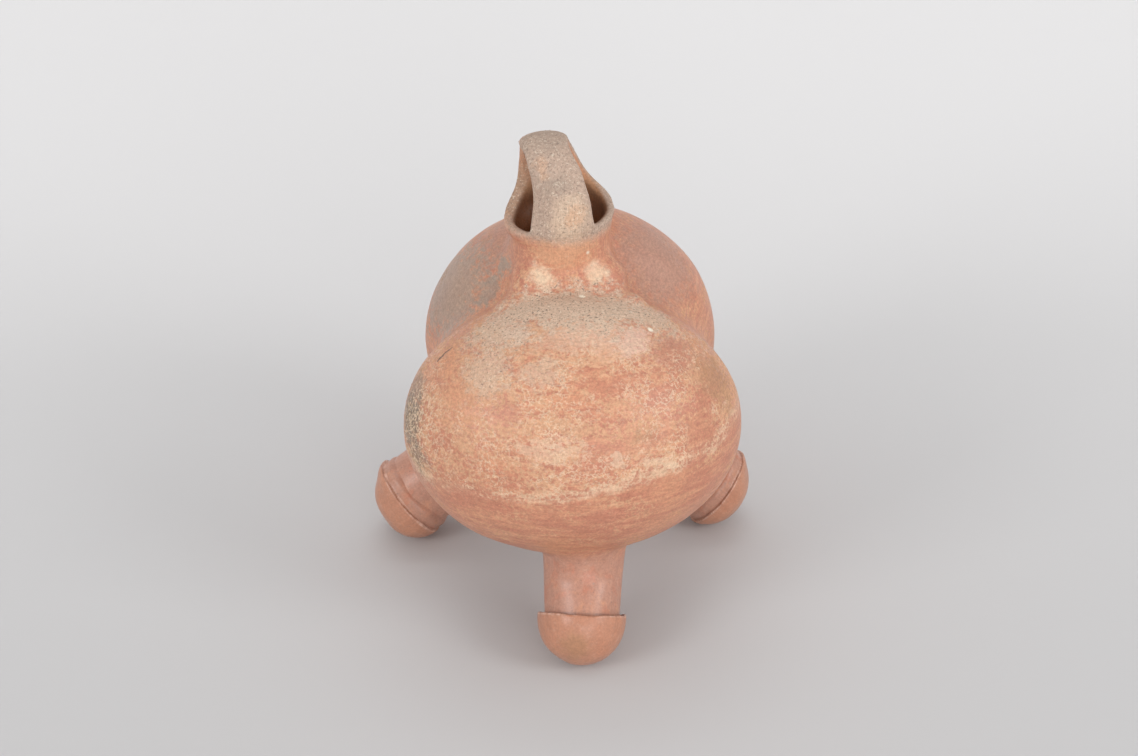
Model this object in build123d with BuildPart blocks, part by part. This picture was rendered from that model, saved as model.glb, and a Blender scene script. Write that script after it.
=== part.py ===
"""Tripod askos: a hand-built vessel of two joined chambers, with a strap handle over its mouth.

Millimetres, +Z up. The vessel stands on z = 0, its front chamber towards -Y and its left side
at -X. The origin lies on the floor under the middle of the vessel's box. Every piece of clay
that the potter forms apart and lutes to the rest is a solid of its own.
"""

import math
import os

from build123d import *

# Chambers: middles, half lengths along X, Y and Z, heights of the bellies over the floor,
# and the wall that the potter leaves
FRONT_MIDDLE_X = 0.5
FRONT_MIDDLE_Y = -34.0
FRONT_BELLY_Z = 45.0
FRONT_HALF_WIDTH = 82.5
FRONT_HALF_LENGTH = 63.0
FRONT_HALF_HEIGHT = 64.5
REAR_MIDDLE_X = 4.0
REAR_MIDDLE_Y = 38.0
REAR_BELLY_Z = 44.5
REAR_HALF_WIDTH = 74.0
REAR_HALF_LENGTH = 60.5
REAR_HALF_HEIGHT = 70.0
WALL = 6.0
SEAM_Z = 100.0

# Waist band between the two chambers
WAIST_FRONT_Y = -14.0
WAIST_Y = 5.0
WAIST_REAR_Y = 22.0
WAIST_HALF_WIDTH = 69.5
WAIST_HALF_HEIGHT = 57.0
WAIST_RUN_IN = 10.0

# Neck round the mouth
NECK_X = -2.0
NECK_Y = 16.0
NECK_HEIGHT = 22.5
RIM_RADIUS = 26.5
RIM_WALL = 6.0
NECK_RADIUS = 22.0
NECK_WAIST_DROP = 16.0
NECK_BORE = 16.5
NECK_COIL_RADIUS = 31.0
NECK_COIL_HEIGHT = 7.0
NECK_COIL_DROP = 9.0
NECK_COIL_TILT = 18.0

# Handle: a front strap and a rear tongue that meet at the top of an arch over the mouth
ARCH_RISE = 36.0
ARCH_LEAN = -7.5
STRAP_THICKNESS = 7.0
STRAP_RING_RADIUS = 40.0
STRAP_HALF_WIDTH = 11.6
STRAP_FOOT_HALF_WIDTH = 17.0
TONGUE_FOOT_HALF_WIDTH = 26.3
LIMB_TAPER = 4.2
LIMB_STEPS = 4

# Legs: places of the feet, plan heading from the front (-Y) and dip below the horizontal
FRONT_FOOT_X = 2.5
FRONT_FOOT_Y = -77.0
LEFT_FOOT_X = -80.5
LEFT_FOOT_Y = 32.0
RIGHT_FOOT_X = 79.5
RIGHT_FOOT_Y = 34.5
FRONT_LEG_HEADING = -7.0
SIDE_LEG_HEADING = 85.0
FRONT_LEG_DIP = 52.0
SIDE_LEG_DIP = 38.0
SHANK_RADIUS = 18.7
SHANK_ROOT_RADIUS = 20.5
LEG_COIL_RADIUS = 28.0
LEG_COIL_HEIGHT = 11.0
LEG_COIL_DROP = 5.5
COIL_EDGE = 1.2

# Foot caps: lipped domes, worn flat where they stand
CAP_RADIUS = 22.0
CAP_LIP = 3.5
LIP_ROUND = 1.6
FRONT_DOME = 22.5
SIDE_DOME = 17.5
WORN_DEPTH = 0.7

# Plug joints: tenons through the bowls' walls, spigots into the caps, and the slip round them
TENON_RADIUS = 8.0
TENON_LENGTH = 18.0
SPIGOT_RADIUS = 9.0
SPIGOT_LENGTH = 8.0
SLIP = 0.25

FRONT_CENTRE = (FRONT_MIDDLE_X, FRONT_MIDDLE_Y, FRONT_BELLY_Z + FRONT_HALF_HEIGHT)
FRONT_SIZE = (FRONT_HALF_WIDTH, FRONT_HALF_LENGTH, FRONT_HALF_HEIGHT)
REAR_CENTRE = (REAR_MIDDLE_X, REAR_MIDDLE_Y, REAR_BELLY_Z + REAR_HALF_HEIGHT)
REAR_SIZE = (REAR_HALF_WIDTH, REAR_HALF_LENGTH, REAR_HALF_HEIGHT)

# The neck's axis meets the rear chamber at its root, and its rim and waist are set from there
ACROSS = (NECK_X - REAR_MIDDLE_X) / REAR_HALF_WIDTH
ALONG = (NECK_Y - REAR_MIDDLE_Y) / REAR_HALF_LENGTH
NECK_ROOT_Z = REAR_CENTRE[2] + REAR_HALF_HEIGHT * math.sqrt(1 - ACROSS**2 - ALONG**2)
RIM_Z = NECK_ROOT_Z + NECK_HEIGHT
NECK_WAIST_Z = RIM_Z - NECK_WAIST_DROP
RIM_MIDDLE = RIM_RADIUS - RIM_WALL / 2

# Share of its box at which a Bezier curve's handles make a quarter ellipse
QUARTER = 0.5523

os.makedirs("parts", exist_ok=True)


def save(piece, name):
    """Label a finished piece and write it to its own file."""
    piece.label = name
    export_step(piece, f"parts/{name}.step")


def thinner(size, wall):
    """Half lengths of an ellipsoid, one wall further in."""
    return tuple(half - wall for half in size)


def ellipsoid(centre, size):
    """A solid ellipsoid with the half lengths given."""
    with BuildPart() as ball:
        Sphere(1)
        scale(by=size)
    return ball.part.moved(Location(centre))


def section_at(centre, size, y):
    """Half width and half height of an ellipsoid where the plane at y cuts it."""
    shrink = math.sqrt(1 - ((y - centre[1]) / size[1]) ** 2)
    return size[0] * shrink, size[2] * shrink


def waist_solid(wall):
    """The waist as a solid, one wall inside the outside of the vessel."""
    front, rear = thinner(FRONT_SIZE, wall), thinner(REAR_SIZE, wall)
    middle_x = (FRONT_CENTRE[0] + REAR_CENTRE[0]) / 2
    middle_z = (FRONT_CENTRE[2] + REAR_CENTRE[2]) / 2
    stations = []
    for y in (WAIST_FRONT_Y - WAIST_RUN_IN, WAIST_FRONT_Y):
        stations.append((FRONT_CENTRE[0], y, FRONT_CENTRE[2], *section_at(FRONT_CENTRE, front, y)))
    stations.append((middle_x, WAIST_Y, middle_z, WAIST_HALF_WIDTH - wall, WAIST_HALF_HEIGHT - wall))
    for y in (WAIST_REAR_Y, WAIST_REAR_Y + WAIST_RUN_IN):
        stations.append((REAR_CENTRE[0], y, REAR_CENTRE[2], *section_at(REAR_CENTRE, rear, y)))
    with BuildPart() as waist:
        for x, y, z, half_width, half_height in stations:
            with BuildSketch(Plane((x, y, z), x_dir=(1, 0, 0), z_dir=(0, -1, 0))):
                Ellipse(half_width, half_height)
        loft()
        split(bisect_by=Plane((0, WAIST_FRONT_Y, 0), z_dir=(0, 1, 0)), keep=Keep.TOP)
        split(bisect_by=Plane((0, WAIST_REAR_Y, 0), z_dir=(0, 1, 0)), keep=Keep.BOTTOM)
    return waist.part


def leg_direction(heading, dip):
    """Direction of a leg, from its root to its foot."""
    turn, fall = math.radians(heading), math.radians(dip)
    return Vector(math.cos(fall) * math.sin(turn), -math.cos(fall) * math.cos(turn), -math.sin(fall))


def foot_height(dome, dip):
    """Height of a foot cap's middle, with its dome worn flat on the floor."""
    fall = math.radians(dip)
    return math.hypot(dome * math.sin(fall), CAP_RADIUS * math.cos(fall)) - WORN_DEPTH


def root_distance(foot, direction, centre, size):
    """How far up its axis a leg meets its chamber, from the middle of its foot cap."""
    start = [(foot[i] - centre[i]) / size[i] for i in range(3)]
    step = [-component / half for component, half in zip(direction, size)]
    square = sum(s * s for s in step)
    cross = sum(p * s for p, s in zip(start, step))
    rest = sum(p * p for p in start) - 1
    return (-cross - math.sqrt(cross * cross - square * rest)) / square


# Outside and hollow of the whole body, which the pieces are cut from and seated on
front_outside = ellipsoid(FRONT_CENTRE, FRONT_SIZE)
front_hollow = ellipsoid(FRONT_CENTRE, thinner(FRONT_SIZE, WALL))
rear_outside = ellipsoid(REAR_CENTRE, REAR_SIZE)
rear_hollow = ellipsoid(REAR_CENTRE, thinner(REAR_SIZE, WALL))
waist_outside = waist_solid(0)
waist_hollow = waist_solid(WALL)

# The front leg stands under the front chamber, the side legs under the rear one and the waist
front_carrier = (FRONT_CENTRE, FRONT_SIZE, front_hollow, (front_outside,))
rear_carrier = (REAR_CENTRE, REAR_SIZE, rear_hollow, (rear_outside, waist_outside))
front_foot = (FRONT_FOOT_X, FRONT_FOOT_Y)
left_foot = (LEFT_FOOT_X, LEFT_FOOT_Y)
right_foot = (RIGHT_FOOT_X, RIGHT_FOOT_Y)
LEGS = (
    ("front", front_foot, FRONT_LEG_HEADING, FRONT_LEG_DIP, FRONT_DOME, front_carrier),
    ("left", left_foot, -SIDE_LEG_HEADING, SIDE_LEG_DIP, SIDE_DOME, rear_carrier),
    ("right", right_foot, SIDE_LEG_HEADING, SIDE_LEG_DIP, SIDE_DOME, rear_carrier),
)

tenon_holes = {}
for name, foot, heading, dip, dome, (centre, size, hollow, outsides) in LEGS:
    foot_centre = (*foot, foot_height(dome, dip))
    direction = leg_direction(heading, dip)
    root = root_distance(foot_centre, direction, centre, size)
    buried = root + LEG_COIL_RADIUS
    # A profile's X is the distance from the leg's axis, its Y runs up the axis from the cap's middle
    axis = Axis(foot_centre, -direction)
    cross_plane = Plane(foot_centre, x_dir=direction.cross(Vector(0, 0, 1)), z_dir=-direction)
    outward = cross_plane.x_dir
    profile_plane = Plane(foot_centre, x_dir=outward, z_dir=outward.cross(-direction))

    with BuildPart() as tenon_hole:
        with BuildSketch(cross_plane.offset(root - WALL)):
            Circle(TENON_RADIUS + SLIP)
        extrude(amount=TENON_LENGTH)
    tenon_holes[name] = tenon_hole.part

    with BuildPart() as leg:
        with BuildSketch(profile_plane):
            with BuildLine():
                Polyline(
                    (0, CAP_LIP),
                    (SHANK_RADIUS, CAP_LIP),
                    (SHANK_ROOT_RADIUS, root),
                    (SHANK_ROOT_RADIUS, buried),
                    (0, buried),
                    close=True,
                )
            make_face()
        revolve(axis=axis)
        for outside in outsides:
            add(outside, mode=Mode.SUBTRACT)
        with BuildSketch(cross_plane.offset(root - WALL)):
            Circle(TENON_RADIUS)
        extrude(amount=TENON_LENGTH)
        add(hollow, mode=Mode.SUBTRACT)
        with BuildSketch(cross_plane.offset(CAP_LIP)):
            Circle(SPIGOT_RADIUS)
        extrude(amount=-SPIGOT_LENGTH)
    save(leg.part, f"{name}_leg")

    coil_top = root - LEG_COIL_HEIGHT
    widening = (SHANK_ROOT_RADIUS - SHANK_RADIUS) / (root - CAP_LIP)
    shank_at_top = SHANK_RADIUS + widening * (coil_top - CAP_LIP)
    with BuildPart() as coil:
        with BuildSketch(profile_plane):
            with BuildLine():
                flare = TangentArc(
                    (shank_at_top + COIL_EDGE, coil_top),
                    (LEG_COIL_RADIUS, root + LEG_COIL_DROP),
                    tangent=(0, 1),
                )
                Polyline(
                    flare @ 1,
                    (LEG_COIL_RADIUS, buried),
                    (SHANK_ROOT_RADIUS, buried),
                    (SHANK_ROOT_RADIUS, root),
                    (shank_at_top, coil_top),
                    flare @ 0,
                )
            make_face()
        revolve(axis=axis)
        for outside in outsides:
            add(outside, mode=Mode.SUBTRACT)
    save(coil.part, f"{name}_leg_coil")

    with BuildPart() as cap:
        with BuildSketch(profile_plane):
            with BuildLine():
                lip = (CAP_RADIUS, CAP_LIP - LIP_ROUND)
                shelf = (CAP_RADIUS - LIP_ROUND, CAP_LIP)
                Bezier(
                    (0, -dome),
                    (QUARTER * CAP_RADIUS, -dome),
                    (CAP_RADIUS, -QUARTER * dome),
                    (CAP_RADIUS, 0),
                )
                Line((CAP_RADIUS, 0), lip)
                RadiusArc(lip, shelf, -LIP_ROUND)
                Polyline(shelf, (0, CAP_LIP), (0, -dome))
            make_face()
        revolve(axis=axis)
        with BuildSketch(cross_plane.offset(CAP_LIP)):
            Circle(SPIGOT_RADIUS + SLIP)
        extrude(amount=-SPIGOT_LENGTH, mode=Mode.SUBTRACT)
        split(bisect_by=Plane.XY, keep=Keep.TOP)
    save(cap.part, f"{name}_foot_cap")

# Mouth bore through the top of the body
with BuildPart() as mouth_bore:
    with BuildSketch(Plane((NECK_X, NECK_Y, SEAM_Z))):
        Circle(NECK_BORE)
    extrude(amount=RIM_Z - SEAM_Z)

# Chamber halves: a lower bowl with its tenon holes, and an upper shell with its share of the bore
front_joint = Plane((0, WAIST_FRONT_Y, 0), z_dir=(0, -1, 0))
rear_joint = Plane((0, WAIST_REAR_Y, 0), z_dir=(0, 1, 0))
CHAMBERS = (
    ("front", front_outside, front_hollow, front_joint, ("front",)),
    ("rear", rear_outside, rear_hollow, rear_joint, ("left", "right")),
)
for name, outside, hollow, joint, legs in CHAMBERS:
    with BuildPart() as shell:
        add(outside)
        add(hollow, mode=Mode.SUBTRACT)
        split(bisect_by=joint, keep=Keep.TOP)

    with BuildPart() as lower_bowl:
        add(shell.part)
        split(bisect_by=Plane.XY.offset(SEAM_Z), keep=Keep.BOTTOM)
        for leg_name in legs:
            add(tenon_holes[leg_name], mode=Mode.SUBTRACT)
    save(lower_bowl.part, f"{name}_lower_bowl")

    with BuildPart() as upper_shell:
        add(shell.part)
        split(bisect_by=Plane.XY.offset(SEAM_Z), keep=Keep.TOP)
        add(mouth_bore.part, mode=Mode.SUBTRACT)
    save(upper_shell.part, f"{name}_upper_shell")

with BuildPart() as waist_band:
    add(waist_outside)
    add(waist_hollow, mode=Mode.SUBTRACT)
    add(mouth_bore.part, mode=Mode.SUBTRACT)
    for hole in tenon_holes.values():
        add(hole, mode=Mode.SUBTRACT)
save(waist_band.part, "waist_band")

# Neck: a waisted tube, its root cut to the body
neck_axis = Axis((NECK_X, NECK_Y, 0), (0, 0, 1))
neck_plane = Plane((NECK_X, NECK_Y, 0), x_dir=(1, 0, 0), z_dir=(0, -1, 0))
with BuildPart() as neck_plug:
    with BuildSketch(neck_plane):
        with BuildLine():
            side = TangentArc((NECK_RADIUS, NECK_WAIST_Z), (RIM_RADIUS, RIM_Z), tangent=(0, 1))
            Polyline(side @ 1, (0, RIM_Z), (0, SEAM_Z), (NECK_RADIUS, SEAM_Z), side @ 0)
        make_face()
    revolve(axis=neck_axis)

with BuildPart() as neck:
    add(neck_plug.part)
    with BuildSketch(neck_plane):
        with BuildLine():
            Polyline(
                (0, SEAM_Z),
                (NECK_BORE, SEAM_Z),
                (NECK_BORE, NECK_WAIST_Z),
                (RIM_RADIUS - RIM_WALL, RIM_Z),
                (0, RIM_Z),
                close=True,
            )
        make_face()
    revolve(axis=neck_axis, mode=Mode.SUBTRACT)
    for outside in (rear_outside, waist_outside):
        add(outside, mode=Mode.SUBTRACT)
save(neck.part, "neck")

# Coil round the neck's root, tilted as the saddle is
tilt = math.radians(NECK_COIL_TILT)
saddle_across = (0, -math.cos(tilt), -math.sin(tilt))
neck_root = Plane((NECK_X, NECK_Y, NECK_ROOT_Z), x_dir=(1, 0, 0), z_dir=saddle_across)
with BuildPart() as neck_coil:
    with BuildSketch(neck_root):
        with BuildLine():
            flare = TangentArc(
                (NECK_RADIUS / math.cos(tilt) + COIL_EDGE, NECK_COIL_HEIGHT),
                (NECK_COIL_RADIUS, -NECK_COIL_DROP),
                tangent=(0, -1),
            )
            Polyline(
                flare @ 1,
                (NECK_COIL_RADIUS, -NECK_COIL_RADIUS),
                (0, -NECK_COIL_RADIUS),
                (0, NECK_COIL_HEIGHT),
                flare @ 0,
            )
        make_face()
    revolve(axis=Axis(neck_root.origin, neck_root.y_dir))
    for inner in (neck_plug.part, rear_outside, waist_outside, front_outside):
        add(inner, mode=Mode.SUBTRACT)
save(neck_coil.part, "neck_coil")


def arch_section(angle, ring_radius, half_width, thickness):
    """A curved section of the handle, square to its arch, at an angle up from the back of the rim."""
    turn = math.radians(angle)
    middle = (
        NECK_X + ARCH_LEAN * math.sin(turn),
        NECK_Y + RIM_MIDDLE * math.cos(turn),
        RIM_Z + ARCH_RISE * math.sin(turn),
    )
    along_arch = (0, -RIM_MIDDLE * math.sin(turn), ARCH_RISE * math.cos(turn))
    outer, inner = ring_radius + thickness / 2, ring_radius - thickness / 2
    span = math.asin(half_width / outer)
    outer_end = (outer * math.sin(span), outer * math.cos(span) - ring_radius)
    inner_end = (inner * math.sin(span), inner * math.cos(span) - ring_radius)
    with BuildSketch(Plane(middle, x_dir=(1, 0, 0), z_dir=along_arch)) as section:
        with BuildLine():
            back = ThreePointArc(outer_end, (0, thickness / 2), (-outer_end[0], outer_end[1]))
            face = ThreePointArc((-inner_end[0], inner_end[1]), (0, -thickness / 2), inner_end)
            Line(back @ 1, face @ 0)
            Line(face @ 1, back @ 0)
        make_face()
    return section.sketch


# Handle: each limb changes from a piece of the rim's ring to the flatter strap at the top
LIMBS = (
    ("handle_rear_tongue", 0.0, TONGUE_FOOT_HALF_WIDTH),
    ("handle_front_strap", 180.0, STRAP_FOOT_HALF_WIDTH),
)
for name, foot_angle, foot_half_width in LIMBS:
    sections = []
    for step in range(LIMB_STEPS + 1):
        rise = step / LIMB_STEPS
        sections.append(
            arch_section(
                foot_angle + (90 - foot_angle) * rise,
                RIM_MIDDLE + (STRAP_RING_RADIUS - RIM_MIDDLE) * rise**2,
                STRAP_HALF_WIDTH + (foot_half_width - STRAP_HALF_WIDTH) * (1 - rise) ** LIMB_TAPER,
                RIM_WALL + (STRAP_THICKNESS - RIM_WALL) * rise,
            )
        )
    with BuildPart() as limb:
        loft(sections)
    save(limb.part, name)
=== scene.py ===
"""Looks of a tripod askos: two joined chambers of burnished, weathered clay on three legs.

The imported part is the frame. Its solids are softened into one clay skin, as a potter's hand does,
and the skin is cut back into the pieces that stand for them. Lengths are in metres in the frame's
own axes: +Z up, -Y from the mouth towards the front chamber, +X to the viewer's right.
"""

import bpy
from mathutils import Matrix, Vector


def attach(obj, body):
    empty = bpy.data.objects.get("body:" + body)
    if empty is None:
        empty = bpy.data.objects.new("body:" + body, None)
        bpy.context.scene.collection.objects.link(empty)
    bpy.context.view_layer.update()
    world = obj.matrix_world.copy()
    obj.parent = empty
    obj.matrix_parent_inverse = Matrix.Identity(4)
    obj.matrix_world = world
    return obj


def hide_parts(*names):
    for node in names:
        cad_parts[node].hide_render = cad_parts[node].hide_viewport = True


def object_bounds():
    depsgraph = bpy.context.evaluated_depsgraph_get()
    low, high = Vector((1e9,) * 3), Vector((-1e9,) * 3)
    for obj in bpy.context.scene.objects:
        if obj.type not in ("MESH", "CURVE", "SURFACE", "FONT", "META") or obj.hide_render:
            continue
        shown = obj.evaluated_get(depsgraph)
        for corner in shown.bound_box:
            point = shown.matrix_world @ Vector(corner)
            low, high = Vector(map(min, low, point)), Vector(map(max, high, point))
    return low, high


bl_info = {
    "name": "Tripod askos",
    "version": (1, 0, 0),
    "blender": (4, 5, 0),
    "location": "3D View > Sidebar > Askos",
    "description": "Dresses the packed askos vessel in burnished, weathered clay",
    "category": "Object",
}

import math
from functools import cache

import bmesh
import bpy
import numpy as np
import openvdb
from bpy.props import FloatProperty, FloatVectorProperty, IntProperty, PointerProperty
from mathutils import Matrix, Vector
from mathutils.kdtree import KDTree

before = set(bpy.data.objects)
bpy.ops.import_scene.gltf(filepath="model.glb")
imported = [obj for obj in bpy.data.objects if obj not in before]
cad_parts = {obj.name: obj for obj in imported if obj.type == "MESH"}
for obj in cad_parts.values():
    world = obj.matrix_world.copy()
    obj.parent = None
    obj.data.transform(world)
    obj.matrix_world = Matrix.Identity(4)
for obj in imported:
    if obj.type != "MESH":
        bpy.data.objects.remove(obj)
cad_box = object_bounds()

MM = 0.001
RED_SLOT = "burnished_red_slip"
PALE_SLOT = "weathered_slip"
SANDY_SLOT = "sandy_clay"

# Where each leg's foot cap has its middle, its plan heading from the front and its dip, in degrees
LEGS = {
    "front": (Vector((2.5, -77.0, 21.61)) * MM, -7.0, 52.0),
    "left": (Vector((-80.5, 32.0, 19.71)) * MM, -85.0, 38.0),
    "right": (Vector((79.5, 34.5, 19.71)) * MM, 85.0, 38.0),
}
DOMES = {"front": 22.5 * MM, "left": 17.5 * MM, "right": 17.5 * MM}
LEG_LENGTHS = {"front": 34.8 * MM, "left": 54.5 * MM, "right": 52.9 * MM}

# Height of each cap's lip above the middle of its dome, and of the soft roll that the side legs end in
LIPS = {"front": 3.0 * MM, "left": 1.8 * MM, "right": -0.8 * MM}
ROLLS = {"left": 5.8 * MM, "right": 3.0 * MM}

# Planes and reaches that the clay skin is cut at
WAIST_FRONT_Y = -14.0 * MM
WAIST_REAR_Y = 22.0 * MM
SEAM_Z = 100.0 * MM
NECK_AXIS = Vector((-2.0, 16.0, 0.0)) * MM
NECK_ROOT_Z = 179.5 * MM
NECK_REACH = 37.0 * MM
HANDLE_FOOT_Z = 204.5 * MM
LEG_REACH = 31.0 * MM
LEG_END = 1.0 * MM
LEG_PAST_ROOT = 20.0 * MM
NECK_CUT_DEPTH = 40.0 * MM
CUT_OVERLAP = 2.0 * MM
FAR = 0.4

LEG_ROD_TOP = 6.0 * MM
SHANK_FOOT_RADIUS = 18.7 * MM

# Clay that the potter adds: a collar under the rim, rolls in front of the neck, fuller legs and caps
COLLAR_RADIUS = 24.5 * MM
COLLAR_DROP = 12.0 * MM
COLLAR_TOP = 200.0 * MM
APRON_ENDS = (Vector((-15.0, 0.0, 168.0)) * MM, Vector((16.0, 2.0, 168.0)) * MM)
APRON_RADIUS = 14.0 * MM
SADDLE_ENDS = (Vector((-26.0, -15.0, 158.0)) * MM, Vector((27.0, -15.0, 158.0)) * MM)
SADDLE_RADIUS = 12.5 * MM
FULLER_RADIUS = 18.6 * MM
FULLER_START = 10.0 * MM
FULLER_RISES = {"left": 4.6 * MM, "right": 3.4 * MM}
CAP_RISES = {"front": 0.0, "left": 0.2, "right": 0.16}

# Where the clay is smoothed: a place, how far in full and how far at all, and each leg root's share
NECK_SMOOTHED = (NECK_AXIS + Vector((0.0, -18.0, 169.5)) * MM, 28.0 * MM, 42.0 * MM)
BROW_SMOOTHED = (Vector((3.0, -77.0, 56.0)) * MM, 12.0 * MM, 25.0 * MM)
ROOT_SMOOTHED = (30.0 * MM, 46.0 * MM)
ROOT_SHARES = {"front": 0.45, "left": 1.0, "right": 1.0}

# CAD nodes that the skin is formed from: the hollow body, the hollow neck and what is solid
BODY_NODES = ("front_lower_bowl", "front_upper_shell", "waist_band", "rear_lower_bowl", "rear_upper_shell")
NECK_NODES = ("neck", "neck_coil")
HANDLE_NODES = ("handle_front_strap", "handle_rear_tongue")
LEG_NODES = ("front_leg", "left_leg", "left_leg_coil", "right_leg", "right_leg_coil")


# Settings


def a_length(name, description, default):
    """A length that a user can change."""
    return FloatProperty(name=name, description=description, default=default, unit="LENGTH")


def an_angle(name, description, default):
    """An angle that a user can change."""
    return FloatProperty(name=name, description=description, default=default, subtype="ANGLE")


def a_count(name, description, default, least=0):
    """A whole number that a user can change."""
    return IntProperty(name=name, description=description, default=default, min=least)


def a_colour(name, description, default):
    """A colour that a user can change, in linear light."""
    return FloatVectorProperty(
        name=name, description=description, default=default, subtype="COLOR", size=3, min=0.0, max=1.0
    )


class AskosForm(bpy.types.PropertyGroup):
    """Sizes of the clay's softened form."""

    cell: a_length("Cell", "Size of the cells that the clay skin is formed on", 1.0 * MM)
    hand_softness: a_length("Hand softness", "How far all edges are rounded by the potter's hand", 1.2 * MM)
    root_softness: a_length("Root softness", "How far the roots of legs and neck are smoothed", 3.0 * MM)
    brow_softness: a_length("Brow softness", "How far the front leg is smoothed into the belly", 7.0 * MM)
    wobble: a_length("Wobble", "Deepest hollow of the uneven, hand-scraped surface", 0.6 * MM)
    cap_radius: a_length("Cap radius", "Radius of a foot cap at its lip", 22.0 * MM)
    shank_radius: a_length("Shank radius", "Radius of a leg where it enters its foot cap", 18.4 * MM)
    channel_depth: a_length("Channel depth", "Depth of the soft channel behind a cap's lip", 1.0 * MM)
    channel_width: a_length("Channel width", "Width of the soft channel behind a cap's lip", 2.4 * MM)
    lip_edge: a_length("Lip edge", "Radius of the rounded edge of a cap's lip", 1.0 * MM)
    cap_rows: a_count("Cap rows", "Points along a foot cap's profile", 110, 16)
    cap_sides: a_count("Cap sides", "Faces round a foot cap", 160, 16)
    grit_density: FloatProperty(
        name="Grit density",
        description="Grits for each square metre where they lie thickest",
        default=60000.0,
        min=0.0,
    )
    grit_seed: a_count("Grit seed", "Seed that the grits are strewn by", 7)
    grit_smallest: a_length("Smallest grit", "Radius of the smallest grits", 0.14 * MM)
    grit_largest: a_length("Largest grit", "Radius of the largest grits", 0.34 * MM)


class AskosColours(bpy.types.PropertyGroup):
    """Colours of the slip, the clay under it and what fire and earth left on them."""

    red: a_colour("Red slip", "Burnished red slip", (0.53, 0.215, 0.135))
    orange: a_colour("Orange slip", "Thinner, orange slip", (0.635, 0.30, 0.175))
    leg: a_colour("Leg slip", "Smooth slip of the legs", (0.50, 0.255, 0.18))
    cap: a_colour("Cap slip", "Smooth slip of the foot caps", (0.52, 0.235, 0.14))
    pink: a_colour("Pink slip", "Slip fired to a pinkish red", (0.455, 0.25, 0.185))
    brown: a_colour("Brown slip", "Slip stained brown", (0.42, 0.225, 0.12))
    buff: a_colour("Buff clay", "Clay where the slip is worn away", (0.65, 0.37, 0.222))
    # Cream also paints the light on the neck's shoulders
    cream: a_colour("Cream clay", "Palest worn spots and root marks", (0.775, 0.57, 0.395))
    rub: a_colour("Rubbed slip", "Pale pink rubs", (0.72, 0.48, 0.375))
    sand: a_colour("Sandy clay", "Weathered, sandy clay of the crest", (0.63, 0.465, 0.345))
    ash: a_colour("Ashy clay", "Greyer sandy clay of the handle", (0.485, 0.368, 0.292))
    cloud: a_colour("Fire cloud", "Grey smoke clouds", (0.36, 0.278, 0.222))
    smoke: a_colour("Smoke", "Darker smoke on the left side", (0.24, 0.18, 0.135))
    # The mouth colour is painted shade inside the mouth and under the handle's arch
    mouth: a_colour("Mouth", "Dark clay inside the mouth", (0.15, 0.052, 0.018))
    # This dark colour also paints shade in the channels behind the caps' lips
    soot_and_shade: a_colour("Pits", "Dark pits and cracks", (0.11, 0.08, 0.07))
    grit: a_colour("Grit", "White grit in the clay", (0.86, 0.77, 0.62))


class AskosStage(bpy.types.PropertyGroup):
    """Camera, light and backdrop."""

    azimuth: an_angle("Azimuth", "Angle of the camera round the vessel", math.radians(-3.5))
    elevation: an_angle("Elevation", "Angle of the camera above the floor", math.radians(33.0))
    distance: a_length("Distance", "Distance of the camera from its target", 1.2)
    target: FloatVectorProperty(
        name="Target",
        description="Point that the camera looks at",
        default=(1.2 * MM, 5.2 * MM, 110.0 * MM),
        subtype="TRANSLATION",
        size=3,
    )
    lens: FloatProperty(name="Lens", description="Focal length in millimetres on the sensor", default=75.92)
    paper: a_colour("Paper", "Backdrop paper", (0.585, 0.58, 0.583))


# The clay skin


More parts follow.
